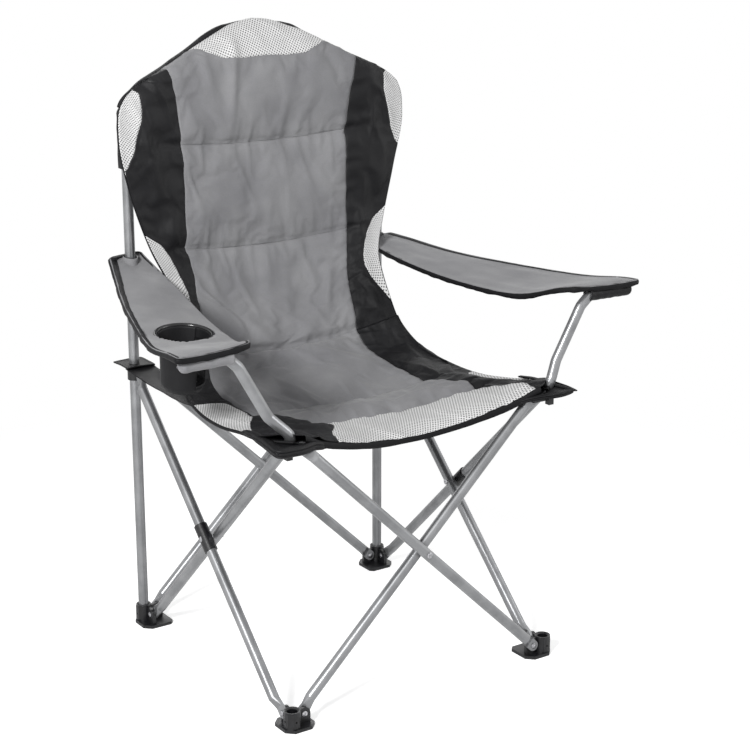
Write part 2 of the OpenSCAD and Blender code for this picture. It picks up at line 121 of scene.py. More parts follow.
floor_bm = bmesh.new()
bmesh.ops.create_grid(floor_bm, x_segments=1, y_segments=1, size=3.2)
floor_mesh = bpy.data.meshes.new("floor")
floor_bm.to_mesh(floor_mesh)
floor = bpy.data.objects.new("floor", floor_mesh)
scene.collection.objects.link(floor)
paper = bpy.data.materials.new("matt white paper")
paper.use_nodes = True
tree = paper.node_tree
tree.nodes.clear()
path = add_node(tree, "ShaderNodeLightPath")
matt = add_node(tree, "ShaderNodeBsdfDiffuse", Color=hex_rgb("fafafa"))
glow = add_node(tree, "ShaderNodeEmission", Color=hex_rgb("ffffff"), Strength=0.5)
lit = add_node(tree, "ShaderNodeAddShader", [(0, matt.outputs[0]), (1, glow.outputs[0])])
plain = add_node(tree, "ShaderNodeEmission", Color=hex_rgb("ffffff"), Strength=1.0)
place = add_node(tree, "ShaderNodeTexCoord").outputs["Object"]
away = add_node(tree, "ShaderNodeVectorMath", [(0, place)], operation="LENGTH")
fade = add_node(tree, "ShaderNodeMapRange", [("Value", away.outputs["Value"])], From_Min=0.55,
    From_Max=1.3, interpolation_type="SMOOTHSTEP")
lit = add_node(tree, "ShaderNodeMixShader", [(0, fade.outputs[0]), (1, lit.outputs[0]),
    (2, plain.outputs[0])])
seen = add_node(tree, "ShaderNodeMixShader", [(0, path.outputs["Is Camera Ray"]),
    (1, matt.outputs[0]), (2, lit.outputs[0])])
add_node(tree, "ShaderNodeOutputMaterial", [("Surface", seen.outputs[0])])
floor_mesh.materials.append(paper)

# ---- Posts and plain bars -----------------------------------------------------------------
# 16 mm steel tube, ends pressed flat in a die, grey powder coat with a fine orange peel. The
# coat gives a soft wide highlight down each tube.


def surface(name, colour, rough, metal=0.0, **more):
    """A material with its Principled shader, returned as (material, tree, shader)."""
    made = bpy.data.materials.new(name)
    made.use_nodes = True
    shader = made.node_tree.nodes["Principled BSDF"]
    shader.inputs["Base Color"].default_value = hex_rgb(colour)
    shader.inputs["Roughness"].default_value = rough
    shader.inputs["Metallic"].default_value = metal
    for key, value in more.items():
        shader.inputs[key.replace("_", " ")].default_value = value
    return made, made.node_tree, shader


def mottled(tree, place, light, dark, scale, low=0.4, high=0.6, detail=3):
    """Colour that drifts between two tones over a noise of that scale."""
    cloud = add_node(tree, "ShaderNodeTexNoise", [("Vector", place)], Scale=scale, Detail=detail)
    ramp = add_node(tree, "ShaderNodeMapRange", [("Value", cloud.outputs[0])],
        From_Min=low, From_Max=high)
    mix = add_node(tree, "ShaderNodeMix", [("Factor", ramp.outputs[0])], data_type="RGBA")
    mix.inputs[6].default_value = hex_rgb(dark)
    mix.inputs[7].default_value = hex_rgb(light)
    return mix.outputs[2]


def relief(tree, shader, height, depth, strength):
    """Bump of that depth in metres on the shader."""
    bump = add_node(tree, "ShaderNodeBump", [("Height", height)], Strength=strength,
        Distance=depth)
    tree.links.new(bump.outputs[0], shader.inputs["Normal"])


powder_coat, tree, shader = surface("powder-coated steel", "8f9092", 0.3, metal=0.7,
    Coat_Weight=0.3, Coat_Roughness=0.15)
place = add_node(tree, "ShaderNodeTexCoord").outputs["Object"]
tree.links.new(mottled(tree, place, "97989a", "87888a", 26), shader.inputs["Base Color"])
peel = add_node(tree, "ShaderNodeTexNoise", [("Vector", place)], Scale=900, Detail=2)
relief(tree, shader, peel.outputs[0], 0.00006, 0.5)


def dress(material, *names):
    for name in names:
        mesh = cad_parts[name].data
        mesh.materials.clear()
        mesh.materials.append(material)


dress(powder_coat, "post_left", "post_right", "bar_left_outer", "bar_front_inner",
    "bar_front_outer", "bar_rear_outer", "bar_rear_inner", "bar_right_inner",
    "arm_bar_left", "arm_bar_right")

# ---- Rivets -------------------------------------------------------------------------------
# Zinc-plated steel rivets with domed heads, peened over. The plating is brighter than the coat
# and shows small dull spots.
zinc, tree, shader = surface("zinc-plated steel", "c4c4c6", 0.28, metal=1.0)
place = add_node(tree, "ShaderNodeTexCoord").outputs["Object"]
tree.links.new(mottled(tree, place, "cfcfd2", "8f8f92", 420), shader.inputs["Base Color"])
dress(zinc, *[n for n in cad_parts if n.startswith("rivet")])

# ---- Feet, sliders, brackets and saddles --------------------------------------------------
# Black nylon mouldings with a fine spark-eroded grain and a tone that drifts a little.
# The gloss that hands and floors have rubbed onto their edges is not drawn.
nylon, tree, shader = surface("moulded nylon", "131315", 0.36, IOR=1.53)
place = add_node(tree, "ShaderNodeTexCoord").outputs["Object"]
tree.links.new(mottled(tree, place, "17171a", "0d0d0f", 90), shader.inputs["Base Color"])
grain = add_node(tree, "ShaderNodeTexNoise", [("Vector", place)], Scale=1500, Detail=2)
relief(tree, shader, grain.outputs[0], 0.0002, 0.5)
dress(nylon, *[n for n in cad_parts
    if n.startswith(("foot_", "slider_", "bracket_", "saddle_"))])

# ---- Sling --------------------------------------------------------------------------------
# Seat and back are one long cushion sewn from polyester panels over thin foam and hung between
# the frame's corners and the two posts. Stations run from the front hem (0) to the crown (15).
# Height of the frame's corners over the floor. The two lines are in millimetres from there.
TOP_H = 0.4205
MID_LINE = [(-200, -35), (-167, -26), (-100, -27), (-40, -27), (40, -19), (100, -1), (134, 20),
    (153, 36), (175, 68), (195, 108), (211, 188), (214, 268), (213, 351), (208, 460),
    (220, 505), (237, 531)]
EDGE_LINE = [(214, -238, 11), (250, -195, 10), (239, -120, -2), (235, -50, -11), (230, 20, -9),
    (218, 80, 5), (196, 110, 42), (186, 130, 88), (189, 158, 128), (196, 176, 160),
    (215, 190, 208), (240, 197, 290), (256, 196, 372), (240, 201, 432), (150, 217, 478),
    (50, 233, 524)]


def bow(line, t):
    """Smooth curve through a list of points, at station t."""
    last = len(line) - 1
    i = int(math.floor(t))
    f = t - i
    a, b, c, d = (line[max(0, min(last, i + k))] for k in (-1, 0, 1, 2))
    return [q + f / 2 * (r - p + f * (2 * p - 5 * q + 4 * r - s + f * (3 * (q - r) + s - p)))
        for p, q, r, s in zip(a, b, c, d)]


def sling(t, x):
    """Point of the sling's face at station t and x millimetres from the middle, in metres."""
    m, e = bow(MID_LINE, t), bow(EDGE_LINE, t)
    w = (x / e[0]) ** 2
    return Vector((x, m[0] + (e[1] - m[0]) * w, m[1] + (e[2] - m[1]) * w)) / 1000 + Vector(
        (0, 0, TOP_H))


def sling_normal(t, x):
    """Unit direction towards the sitter."""
    across = sling(t, x + 2) - sling(t, x - 2)
    along = sling(min(t + 0.05, 15), x) - sling(max(t - 0.05, 0), x)
    return across.cross(along).normalized()


def edge_x(t):
    return bow(EDGE_LINE, t)[0]


def stepped(points, t):
    """Straight interpolation through (station, value) points."""
    return float(np.interp(t, [p[0] for p in points], [p[1] for p in points]))


# Stations of the cross seams, then the side lines of the grey panels as (station, millimetres).
SEAMS = (1.95, 3.25, 6.3, 9.92, 11.94)
GREY_LEFT = [(0, 140), (0.4, 142), (0.8, 132), (1.15, 114), (1.5, 103), (1.95, 104), (2.2, 116),
    (2.5, 128), (2.8, 141), (3.26, 162), (3.75, 176), (4.23, 180), (4.85, 176), (5.4, 171),
    (6.48, 163), (7.82, 155), (9.29, 144), (9.64, 146), (9.95, 151), (11, 149), (11.94, 149),
    (12.6, 157), (12.9, 163), (13.75, 174)]
GREY_RIGHT = [(0, 203), (0.76, 208), (0.9, 200), (1.19, 198), (1.5, 190), (1.81, 177),
    (2.38, 185), (2.7, 166), (3.25, 148), (3.57, 140), (4.01, 138), (4.68, 131), (5.26, 124),
    (6.3, 121), (7.5, 128), (9.1, 138), (9.92, 147), (11, 147), (11.94, 149), (12.6, 157),
    (12.9, 163), (13.75, 174)]
CROWN_SEAM = [(0, 13.28), (40, 13.26), (75, 13.34), (100, 13.66), (122, 14.25)]
PULL_STEP = 38  # millimetres that one station counts for along a pull
PULL_GAIN = 1.9
# Long soft pulls in the cloth: station and offset of both ends, width, and height before the
# gain, in millimetres.
PULLS = [(13.9, -52, 12.0, -66, 9, 2.6), (13.4, -112, 12.7, -96, 8, 1.8),
    (12.5, -142, 12.2, -120, 7, 2.0), (12.6, 40, 12.0, 26, 9, 1.4), (13.2, 92, 12.1, 70, 12, 1.6),
    (11.8, -40, 10.1, -58, 12, 1.5), (11.7, 62, 10.2, 84, 11, 1.5), (11.0, 5, 10.0, -4, 9, 1.1),
    (9.7, -120, 8.4, -96, 10, 1.8), (9.6, 30, 7.4, 12, 12, 1.5), (9.3, 108, 7.9, 88, 9, 1.7),
    (8.1, -70, 6.6, -30, 12, 2.2), (7.7, 60, 6.5, 20, 11, 2.0), (7.0, -130, 6.4, -84, 8, 2.4),
    (6.1, -110, 4.9, -140, 10, 2.6), (6.1, -40, 4.4, -86, 12, 2.2), (6.0, 30, 4.2, 70, 12, 2.0),
    (6.0, 92, 4.9, 118, 9, 2.2), (4.4, -30, 3.5, 40, 12, 1.6), (4.7, 110, 3.6, 60, 10, 1.5),
    (2.9, -110, 2.3, 20, 8, 1.6), (2.8, 60, 2.2, 150, 8, 1.5), (8.9, -175, 7.7, -168, 7, 2.0),
    (12.8, -205, 11.0, -196, 12, 2.2), (10.6, -180, 9.9, -172, 8, 2.4),
    (12.5, 200, 11.0, 186, 11, 2.0), (10.4, 172, 9.4, 166, 8, 2.2), (7.3, 160, 6.2, 172, 7, 2.2),
    (5.9, 190, 4.4, 196, 10, 2.2), (5.6, -196, 4.7, -206, 8, 2.0)]


def bow_speed(t):
    """Millimetres of sling per station on the middle line."""
    low, high = max(0, t - 0.25), min(15, t + 0.25)
    a, b = bow(MID_LINE, low), bow(MID_LINE, high)
    return math.hypot(b[0] - a[0], b[1] - a[1]) / (high - low)


def grey_edge(t, x):
    return stepped(GREY_LEFT if x < 0 else GREY_RIGHT, t)


def ease(f):
    f = min(1.0, max(0.0, f))
    return f * f * (3 - 2 * f)


def pile(t, x):
    """Height of the padding over the sling's face, in metres: crowned in each channel, drawn in
    at the seams, thin at the edges, and lifted over the brackets at the front corners."""
    rim = max(0.0, edge_x(t) - abs(x))
    body = ease(rim / 50)
    below = max([s for s in SEAMS if s <= t + 1e-6], default=0.0)
    above = min([s for s in SEAMS if s > t + 1e-6], default=15.0)
    share = (t - below) / max(1e-6, above - below)
    over = max(0.0, abs(x) - grey_edge(t, x))
    near = min(abs(t - s) for s in SEAMS) * bow_speed(t)
    draw = math.exp(-((near / 8.0) ** 2)) * math.exp(-((over / 22) ** 2))
    edge_draw = math.exp(-(((abs(x) - grey_edge(t, x)) / 5.0) ** 2)) if t > 2 else 0.0
    crown = 4.8 * (1 - abs(2 * share - 1) ** 2.2) * math.exp(-((over / 60) ** 2))
    lift = 9 * ease((abs(x) - 165) / 45) * ease((1.7 - t) / 1.3)
    return max(0.5, 1.0 + lift + body * (4.3 + crown - 6.0 * draw - 1.5 * edge_draw)) / 1000


def creased(t, x):
    """Folds in the cloth, in metres: long pulls, puckers beside the seams, and a slow drift."""
    place = sling(t, x)
    near = min(abs(t - s) for s in SEAMS) * bow_speed(t)
    side = abs(abs(x) - grey_edge(t, x))
    ridge = max(0.0, 1 - 3.2 * abs(noise.noise(Vector((x * 0.036, t * 0.5, 3.1)))))
    cross = max(0.0, 1 - 3.2 * abs(noise.noise(Vector((t * 1.9, x * 0.006, 8.4)))))
    slant = max(0.0, 1 - 4.0 * abs(noise.noise(Vector(((x + t * 30) * 0.017, t * 0.5, 5.7)))))
    pucker = 2.6 * ridge * math.exp(-near / 26) + 2.2 * cross * math.exp(-side / 20)
    pucker += slant * (1.3 + 2.6 * ease((abs(x) - grey_edge(t, x) - 4) / 25))
    slow = noise.noise(place * 10) * 4.2 + noise.noise(place * 26 + Vector((4, 1, 7))) * 2.0
    pulls = 0.0
    for t0, x0, t1, x1, wide, high in PULLS:
        ax, ay = (t - t0) * PULL_STEP, x - x0
        bx, by = (t1 - t0) * PULL_STEP, x1 - x0
        f = min(1.0, max(0.0, (ax * bx + ay * by) / (bx * bx + by * by)))
        gap = math.hypot(ax - f * bx, ay - f * by)
        if gap < 3 * wide:
            fade = 0.35 + 0.65 * math.sin(math.pi * f)
            pulls += PULL_GAIN * high * math.exp(-((gap / wide) ** 2)) * fade
    calm = ease((edge_x(t) - abs(x)) / 34)
    return (pucker + slow + pulls) * calm / 1000


def arc_table():
    """Stations with their distance in metres from the front hem along the middle line."""
    length, out = 0.0, [(0.0, 0.0)]
    for i in range(1, 151):
        length += bow_speed(i / 10 - 0.05) / 10000
        out.append((i / 10, length))
    return out


ARC = arc_table()


def cloth_object(name, bm, material):
    mesh = bpy.data.meshes.new(name)
    bm.to_mesh(mesh)
    bm.free()
    mesh.shade_smooth()
    made = bpy.data.objects.new(name, mesh)
    scene.collection.objects.link(made)
    mesh.materials.append(material)
    return made


def thicken(piece, thick, offset=-1.0):
    """Gives the cloth a thickness in metres, to its inside (-1) or its outside (1)."""
    wall = piece.modifiers.new("thickness", "SOLIDIFY")
    wall.thickness, wall.offset = thick, offset
    return piece


def mapped(cells, place, chart, closed=False):
    """A grid whose corners (a, b), each from 0 to 1, go to place(a, b), with chart(a, b) as UV."""
    bm = bmesh.new()
    bmesh.ops.create_grid(bm, x_segments=cells[0], y_segments=cells[1], size=1)
    layer = bm.loops.layers.uv.new("cloth")
    spots = {v: ((v.co.x + 1) / 2, (v.co.y + 1) / 2) for v in bm.verts}
    for face in bm.faces:
        for loop in face.loops:
            loop[layer].uv = chart(*spots[loop.vert])
    for v, (a, b) in spots.items():
        v.co = place(a, b)
    if closed:
        bmesh.ops.remove_doubles(bm, verts=bm.verts, dist=1e-5)
    return bm


def sling_panel(name, corner_line, cells, material, side=0, height=pile, fold=creased):
    """Panel of the sling. corner_line(a, b) gives its station and distance from the middle; with
    a side of 1 or -1 the distance counts outwards on that side."""

    def spot(a, b):
        t, x = corner_line(a, b)
        t = min(15.0, max(0.0, t))
        x = x * side if side else x
        return t, max(-edge_x(t), min(edge_x(t), x))

    def place(a, b):
        t, x = spot(a, b)
        return sling(t, x) + sling_normal(t, x) * (height(t, x) + fold(t, x))

    def chart(a, b):
        t, x = spot(a, b)
        return x / 1000, stepped(ARC, t)

    bm = mapped(cells, place, chart)
    if side < 0:
        bmesh.ops.reverse_faces(bm, faces=bm.faces)
    return cloth_object(name, bm, material)


# Woven polyester, 600 denier plain weave. Threads are drawn 1.5 mm apart, three times the real
# spacing, so that they show. The loose fibres give a faint sheen at grazing angles.
def woven(name, light, dark, pitch=0.0015, rough=0.85, sheen=0.2, gloss=0.3):
    made, tree, shader = surface(name, light, rough, Sheen_Weight=sheen, Sheen_Roughness=0.5,
        Specular_IOR_Level=gloss)
    uv = add_node(tree, "ShaderNodeUVMap", uv_map="cloth").outputs[0]
    place = add_node(tree, "ShaderNodeTexCoord").outputs["Object"]
    tone = mottled(tree, place, light, dark, 14, 0.3, 0.7, 5)
    bands = []
    for axis in ("X", "Y"):
        wave = add_node(tree, "ShaderNodeTexWave", [("Vector", uv)], bands_direction=axis,
            Scale=math.pi / 10 / pitch, Distortion=1.2, Detail=1)
        bands.append(wave.outputs["Fac"])
    weave = add_node(tree, "ShaderNodeMath", [(0, bands[0]), (1, bands[1])], operation="MAXIMUM")
    fibre = add_node(tree, "ShaderNodeTexNoise", [("Vector", place)], Scale=700, Detail=2)
    fleck = add_node(tree, "ShaderNodeMapRange", [("Value", fibre.outputs[0])], To_Min=0.86,
        To_Max=1.12)
    shade = add_node(tree, "ShaderNodeMapRange", [("Value", weave.outputs[0])], To_Min=0.9)
    amount = add_node(tree, "ShaderNodeMath", [(0, fleck.outputs[0]), (1, shade.outputs[0])],
        operation="MULTIPLY")
    mix = add_node(tree, "ShaderNodeVectorMath", [(0, tone)], operation="SCALE")
    tree.links.new(amount.outputs[0], mix.inputs["Scale"])
    tree.links.new(mix.outputs[0], shader.inputs["Base Color"])
    relief(tree, shader, weave.outputs[0], 0.0002, 0.7)
    return made


# Spacer mesh: knitted polyester, pale, with slanting rows of dark holes 3.8 mm apart.
def spacer_mesh(name, light, hole, pitch=0.0038):
    made, tree, shader = surface(name, light, 0.8, Sheen_Weight=0.15, Sheen_Roughness=0.5,
        Specular_IOR_Level=0.3)
    uv = add_node(tree, "ShaderNodeUVMap", uv_map="cloth").outputs[0]
    turned = add_node(tree, "ShaderNodeMapping", [("Vector", uv)],
        Rotation=(0, 0, math.radians(32)))
    waves = []
    for axis in ("X", "Y"):
        wave = add_node(tree, "ShaderNodeTexWave", [("Vector", turned.outputs[0])],
            bands_direction=axis, Scale=math.pi / 10 / pitch, Distortion=0.0)
        waves.append(wave.outputs["Fac"])
    pit = add_node(tree, "ShaderNodeMath", [(0, waves[0]), (1, waves[1])], operation="MULTIPLY")
    hole_mask = add_node(tree, "ShaderNodeMapRange", [("Value", pit.outputs[0])], From_Min=0.28,
        From_Max=0.55)
    mix = add_node(tree, "ShaderNodeMix", [("Factor", hole_mask.outputs[0])], data_type="RGBA")
    mix.inputs[6].default_value = hex_rgb(light)
    mix.inputs[7].default_value = hex_rgb(hole)
    tree.links.new(mix.outputs[2], shader.inputs["Base Color"])
    low = add_node(tree, "ShaderNodeMath", [(1, pit.outputs[0])], operation="SUBTRACT")
    low.inputs[0].default_value = 1.0
    relief(tree, shader, low.outputs[0], 0.0006, 0.8)
    return made


grey_cloth = woven("grey polyester", "8e8e90", "7c7c7f")
black_cloth = woven("black polyester", "19191b", "0e0e10", rough=0.52, sheen=0.0, gloss=0.22)
pale_mesh = spacer_mesh("pale spacer mesh", "e0e0e0", "585858")
black_tape = woven("black binding tape", "151517", "0d0d0f", 0.002, 0.6, sheen=0.0, gloss=0.16)


def lerp(a, b, f):
    return a + (b - a) * f


def edge_station(x):
    """Station at which the crown's edge lies x millimetres from the middle."""
    low, high = 12.3, 15.0
    for _ in range(30):
        middle = (low + high) / 2
        low, high = (middle, high) if edge_x(middle) > max(x, 50) else (low, middle)
    return low


UPPER_LENS = [(11.3, 256), (11.45, 243), (11.8, 232), (12.2, 225), (12.6, 218), (13.0, 220),
    (13.35, 236)]
LOWER_LENS = [(6.6, 191), (7.0, 183), (7.5, 175), (8.0, 169), (8.5, 166), (9.0, 167), (9.4, 173),
    (9.7, 181), (10.0, 195), (10.2, 219)]
LEFT_MESH = [(1.5, 246), (1.9, 226), (2.57, 200), (2.98, 178), (3.29, 168), (3.6, 176),
    (3.9, 190), (4.15, 206), (4.3, 222)]
RIGHT_MESH = [(1.3, 247), (1.7, 236), (2.2, 227), (2.7, 221), (3.1, 220), (3.25, 226)]


def grey_top(a, b):
    """Top grey panel: from its lower seam to the crown seam and the corners beside it."""
    s = 2 * a - 1
    wide = 174 * abs(s)
    top = stepped(CROWN_SEAM, wide) if wide <= 122 else edge_station(wide)
    return lerp(11.94, top, b), s * stepped(GREY_LEFT, lerp(11.94, 13.75, b))


def crown(a, b):
    """Pale mesh at the top: from the crown seam to the hood."""
    s = 2 * a - 1
    x = 122 * abs(s)
    return lerp(stepped(CROWN_SEAM, x), edge_station(x), b), s * 122


def between(t0, t1, inner, outer):
    """Panel between two side lines, from station t0 to t1."""

    def line(a, b):
        t = lerp(t0, t1, b)
        return t, lerp(inner(t), outer(t), a)

    return line


def from_left(t):
    return -stepped(GREY_LEFT, t)


def to_right(t):
    return stepped(GREY_RIGHT, t)


def patch_line(points):
    """Inner side of a mesh patch, which ends on the sling's edge."""
    return lambda t: min(edge_x(t), stepped(points, t))


def outside(t, side):
    """Outer side of the black panels, cut back where a mesh patch is let in."""
    lenses = [UPPER_LENS, LOWER_LENS, RIGHT_MESH if side > 0 else LEFT_MESH]
    for points in lenses:
        if points[0][0] < t < points[-1][0]:
            return min(edge_x(t), stepped(points, t))
    return edge_x(t)


def black_back(side):
    def line(a, b):
        inner_t, outer_t = lerp(6.3, 13.75, b), lerp(6.3, 13.45, b)
        t = lerp(inner_t, outer_t, a)
        return t, lerp(grey_edge(inner_t, side), outside(outer_t, side), a)

    return line


def black_seat(t0, t1, side):
    return between(t0, t1, lambda t: grey_edge(t, side), lambda t: outside(t, side))


back_pads = [
    sling_panel("back_panel_top", grey_top, (84, 48), grey_cloth),
    sling_panel("back_panel_middle", between(9.92, 11.94, from_left, to_right), (78, 58),
        grey_cloth),
    sling_panel("back_panel_low", between(6.3, 9.92, from_left, to_right), (78, 76), grey_cloth),
]
back_mesh = [sling_panel("crown_mesh", crown, (60, 26), pale_mesh)]
seat_rear_pads = [sling_panel("seat_panel_rear", between(3.25, 6.3, from_left, to_right),
    (84, 66), grey_cloth)]
seat_front_pads = [sling_panel("seat_panel_front", between(1.95, 3.25, from_left, to_right),
    (84, 34), grey_cloth)]
seat_rear_mesh, seat_front_mesh = [], [sling_panel("front_mesh",
    between(0, 1.95, from_left, to_right), (90, 34), pale_mesh)]
for side, word, lens in ((-1, "left", LEFT_MESH), (1, "right", RIGHT_MESH)):
    back_pads.append(sling_panel("side_panel_" + word, black_back(side), (26, 130), black_cloth,
        side))
    back_mesh += [
        sling_panel("shoulder_mesh_" + word, between(11.3, 13.35, patch_line(UPPER_LENS), edge_x),
            (12, 44), pale_mesh, side),
        sling_panel("waist_mesh_" + word, between(6.6, 10.2, patch_line(LOWER_LENS), edge_x),
            (14, 60), pale_mesh, side),
    ]
    seat_rear_pads.append(sling_panel("seat_side_rear_" + word, black_seat(3.25, 6.3, side),
        (24, 70), black_cloth, side))
    seat_front_pads.append(sling_panel("seat_side_front_" + word, black_seat(0, 3.25, side),
        (30, 60), black_cloth, side))
    seat_front_mesh.append(sling_panel("seat_side_mesh_" + word, between(lens[0][0],
        min(3.25, lens[-1][0]), patch_line(lens), edge_x), (14, 40), pale_mesh, side))
seat_rear_mesh.append(sling_panel("seat_side_mesh_rear", between(3.25, 4.3,
    patch_line(LEFT_MESH), edge_x), (14, 24), pale_mesh, -1))


def swell(pieces, push, spare, cap):
    """Foam under cloth sewn down along its rim: each panel is blown out a little by Blender's
    cloth, with some spare width that turns to wrinkles, and no point moves further than cap."""
    starts = []
    for piece in pieces:
        bm = bmesh.new()
        bm.from_mesh(piece.data)
        rim = [v.index for v in bm.verts if v.is_boundary]
        bm.free()
        piece.vertex_groups.new(name="sewn").add(rim, 1.0, "REPLACE")
        start = np.empty(len(piece.data.vertices) * 3)
        piece.data.vertices.foreach_get("co", start)
        starts.append(start.reshape(-1, 3))
        cloth = piece.modifiers.new("cloth", "CLOTH").settings
        cloth.vertex_group_mass = "sewn"
        cloth.effector_weights.gravity = 0
        cloth.use_pressure = True
        cloth.uniform_pressure_force = push
        cloth.shrink_min = spare
        cloth.quality = 5
        cloth.mass = 0.2
        cloth.tension_stiffness = cloth.compression_stiffness = 20
        cloth.bending_stiffness = 0.6
    for frame_number in range(1, 19):
        scene.frame_set(frame_number)
    graph = bpy.context.evaluated_depsgraph_get()
    ends = []
    for piece in pieces:
        end = np.empty(len(piece.data.vertices) * 3)
        piece.evaluated_get(graph).data.vertices.foreach_get("co", end)
        ends.append(end.reshape(-1, 3))
    for piece, start, end in zip(pieces, starts, ends):
        piece.modifiers.clear()
        piece.vertex_groups.clear()
        move = end - start
        far = np.linalg.norm(move, axis=1, keepdims=True)
        move *= cap * np.tanh(far / cap) / np.maximum(far, 1e-9)
        piece.data.vertices.foreach_set("co", (start + move).ravel())
        piece.data.update()
    scene.frame_set(1)


swell(back_pads + seat_rear_pads + seat_front_pads, 1.2, -0.02, 0.006)


def fold_in(pieces, body):
    """Rides on a body, each piece with a mesh of its own."""
    for piece in pieces:
        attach(piece, body)
        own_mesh(piece)


for pieces, body in ((back_pads, "rear_left"), (back_mesh, "rear_left"),
        (seat_rear_pads, "seat_rear"), (seat_rear_mesh, "seat_rear"),
        (seat_front_pads, "seat_front"), (seat_front_mesh, "seat_front")):
    for piece in pieces:
        thicken(piece, 0.0012)
    fold_in(pieces, body)
for pieces in (back_pads, seat_rear_pads, seat_front_pads):
    for piece in pieces:
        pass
for pieces in (back_mesh, seat_rear_mesh, seat_front_mesh):
    for piece in pieces:
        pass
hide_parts("back_pad")
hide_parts("seat_pad_rear")
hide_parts("seat_pad_front")

# ---- Rear sheets ----------------------------------------------------------------------------
# One layer of black polyester carries the load behind the pads, hemmed to them along the rim.
# At the top it turns over the crown as a hood that the posts' pockets are sewn to.


def behind(name, t0, t1, cells):
    """Rear layer of the sling, 4 mm behind its face at the middle and 1 mm at the rim."""
    line = between(t0, t1, lambda t: -edge_x(t) + 1, lambda t: edge_x(t) - 1)
    made = sling_panel(name, line, cells, black_cloth,
        height=lambda t, x: -0.001 - 0.003 * ease((edge_x(t) - abs(x)) / 40),
        fold=lambda t, x: creased(t, x) * 0.4)
    return thicken(made, 0.0009)


rear_sheet = behind("back_sheet", 6.3, 15, (60, 110))
seat_sheet_rear = behind("seat_sheet_rear", 3.25, 6.3, (60, 44))
seat_sheet_front = behind("seat_sheet_front", 0, 3.25, (60, 44))
for piece, body, node in ((rear_sheet, "rear_left", "back_cloth"),
        (seat_sheet_rear, "seat_rear", "seat_cloth_rear"),
        (seat_sheet_front, "seat_front", "seat_cloth_front")):
    fold_in([piece], body)
    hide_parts(node)


def rim_spot(t, side):
    """Point on the sling's side edge, its outward direction in the sheet, and its normal."""
    x = side * edge_x(t)
    low, high = max(0, t - 0.05), min(15, t + 0.05)
    along = sling(high, side * edge_x(high)) - sling(low, side * edge_x(low))
    up = sling_normal(t, x * 0.995)
    out = along.cross(up).normalized() * side
    return sling(t, x), out, up


def tape(name, spots, profile, material, closed=False):
    """A strip along a path. Each spot is (point, outward, up), and the profile's (out, up) pairs
    are in millimetres."""
    spots = list(spots)
    rows = len(spots) - 1
    far = [0.0]
    for (p, _, _), (q, _, _) in zip(spots, spots[1:]):
        far.append(far[-1] + (q - p).length)
    cuts = len(profile) - 1
    over = [0.0]
    for (o, u), (q, v) in zip(profile, profile[1:]):
        over.append(over[-1] + math.hypot(q - o, v - u) / 1000)

    def place(a, b):
        p, out, up = spots[round(a * rows)]
        o, u = profile[round(b * cuts)]
        return p + out * (o / 1000) + up * (u / 1000)

    bm = mapped((rows, cuts), place, lambda a, b: (far[round(a * rows)], over[round(b * cuts)]),
        closed)
    bmesh.ops.recalc_face_normals(bm, faces=bm.faces)
    return cloth_object(name, bm, material)


HOOD_LOW = 12.75  # station at which the hood starts on both sides
CROWN_SHARE = 0.12  # share of the hood that runs across the flat top
CROWN_HALF = 50  # half width of that top, in millimetres


def hood_spot(s):
    """Along the crown from the left post (-1) over the top (0) to the right post (1)."""
    share = abs(s)
    if share < CROWN_SHARE:
        x = s / CROWN_SHARE * CROWN_HALF
        return sling(15, x), Vector((s * 2, 0.15, 1)).normalized(), sling_normal(15, x * 0.98)
    t = 15 - (share - CROWN_SHARE) / (1 - CROWN_SHARE) * (15 - HOOD_LOW)
    return rim_spot(t, 1 if s > 0 else -1)


hood_rows = []
for i in range(161):
    s = i / 80 - 1
    point, out, up = hood_spot(s)
    swell_out = 2.2 + 6.5 * ease((abs(s) - 0.1) / 0.2) * ease((0.86 - abs(s)) / 0.25)
    swell_out += noise.noise(Vector((s * 9, 0.3, 0.7))) * 1.6
    hood_rows.append((point + out * (swell_out / 1000), out, up))
hood = tape("hood", hood_rows, [(-9, -2.6), (-5, -2.8), (-1.5, -3.4), (0, -5), (-1, -7.5),
    (-5, -10), (-12, -13), (-20, -16), (-28, -19)], black_cloth)
thicken(hood, 0.0009, 1.0)
fold_in([hood], "rear_left")

# Black tape folded over the raw edges of the sling and stitched through.
HEM = [(-4.5, -0.6), (-0.8, -0.4), (0.6, -0.9), (1.2, -1.8), (0.6, -3.0), (-1, -3.6),
    (-4.5, -3.4)]
SEAT_HEM = [(-4.5, 0.6), (-0.5, 1.0), (1.6, 0.6), (2.6, -1.0), (1.8, -3.4), (-1, -4.2),
    (-4.5, -3.8)]
for side, word in ((-1, "left"), (1, "right")):
    for name, t0, t1, body in (("back_hem_", 6.3, HOOD_LOW + 0.1, "rear_left"),
            ("seat_hem_rear_", 3.25, 6.3, "seat_rear"),
            ("seat_hem_front_", 0.25, 3.25, "seat_front")):
        spots = [rim_spot(lerp(t0, t1, i / 60), side) for i in range(61)]
        piece = tape(name + word, spots, HEM if body == "rear_left" else SEAT_HEM, black_tape)
        fold_in([piece], body)
front_spots = []
for i in range(121):
    x = lerp(-206, 206, i / 120)
    up = Vector((0, 0, 1))
    point = sling(0, x) + up * (pile(0, x) - 0.001)
    front_spots.append((point, Vector((0, -1, 0)), up))
front_hem = tape("front_hem", front_spots, [(-7, 1.6), (-2, 1.9), (1.2, 1.0), (2.4, -1.8),
    (2.6, -5), (1.6, -7.6), (-1, -8.6), (-5, -8.2)], black_tape)
fold_in([front_hem], "seat_front")

# ---- Corner patches, plates and gussets -----------------------------------------------------
# Doubled black polyester, hemmed all round and stitched in a square, through which the tubes
# pass. At the front corners the seat's layers are folded under them in a thick bundle.


def quad(corners, a, b):
    p, q, r, s = (Vector(c) for c in corners)
    return (p.lerp(q, a)).lerp(s.lerp(r, a), b)


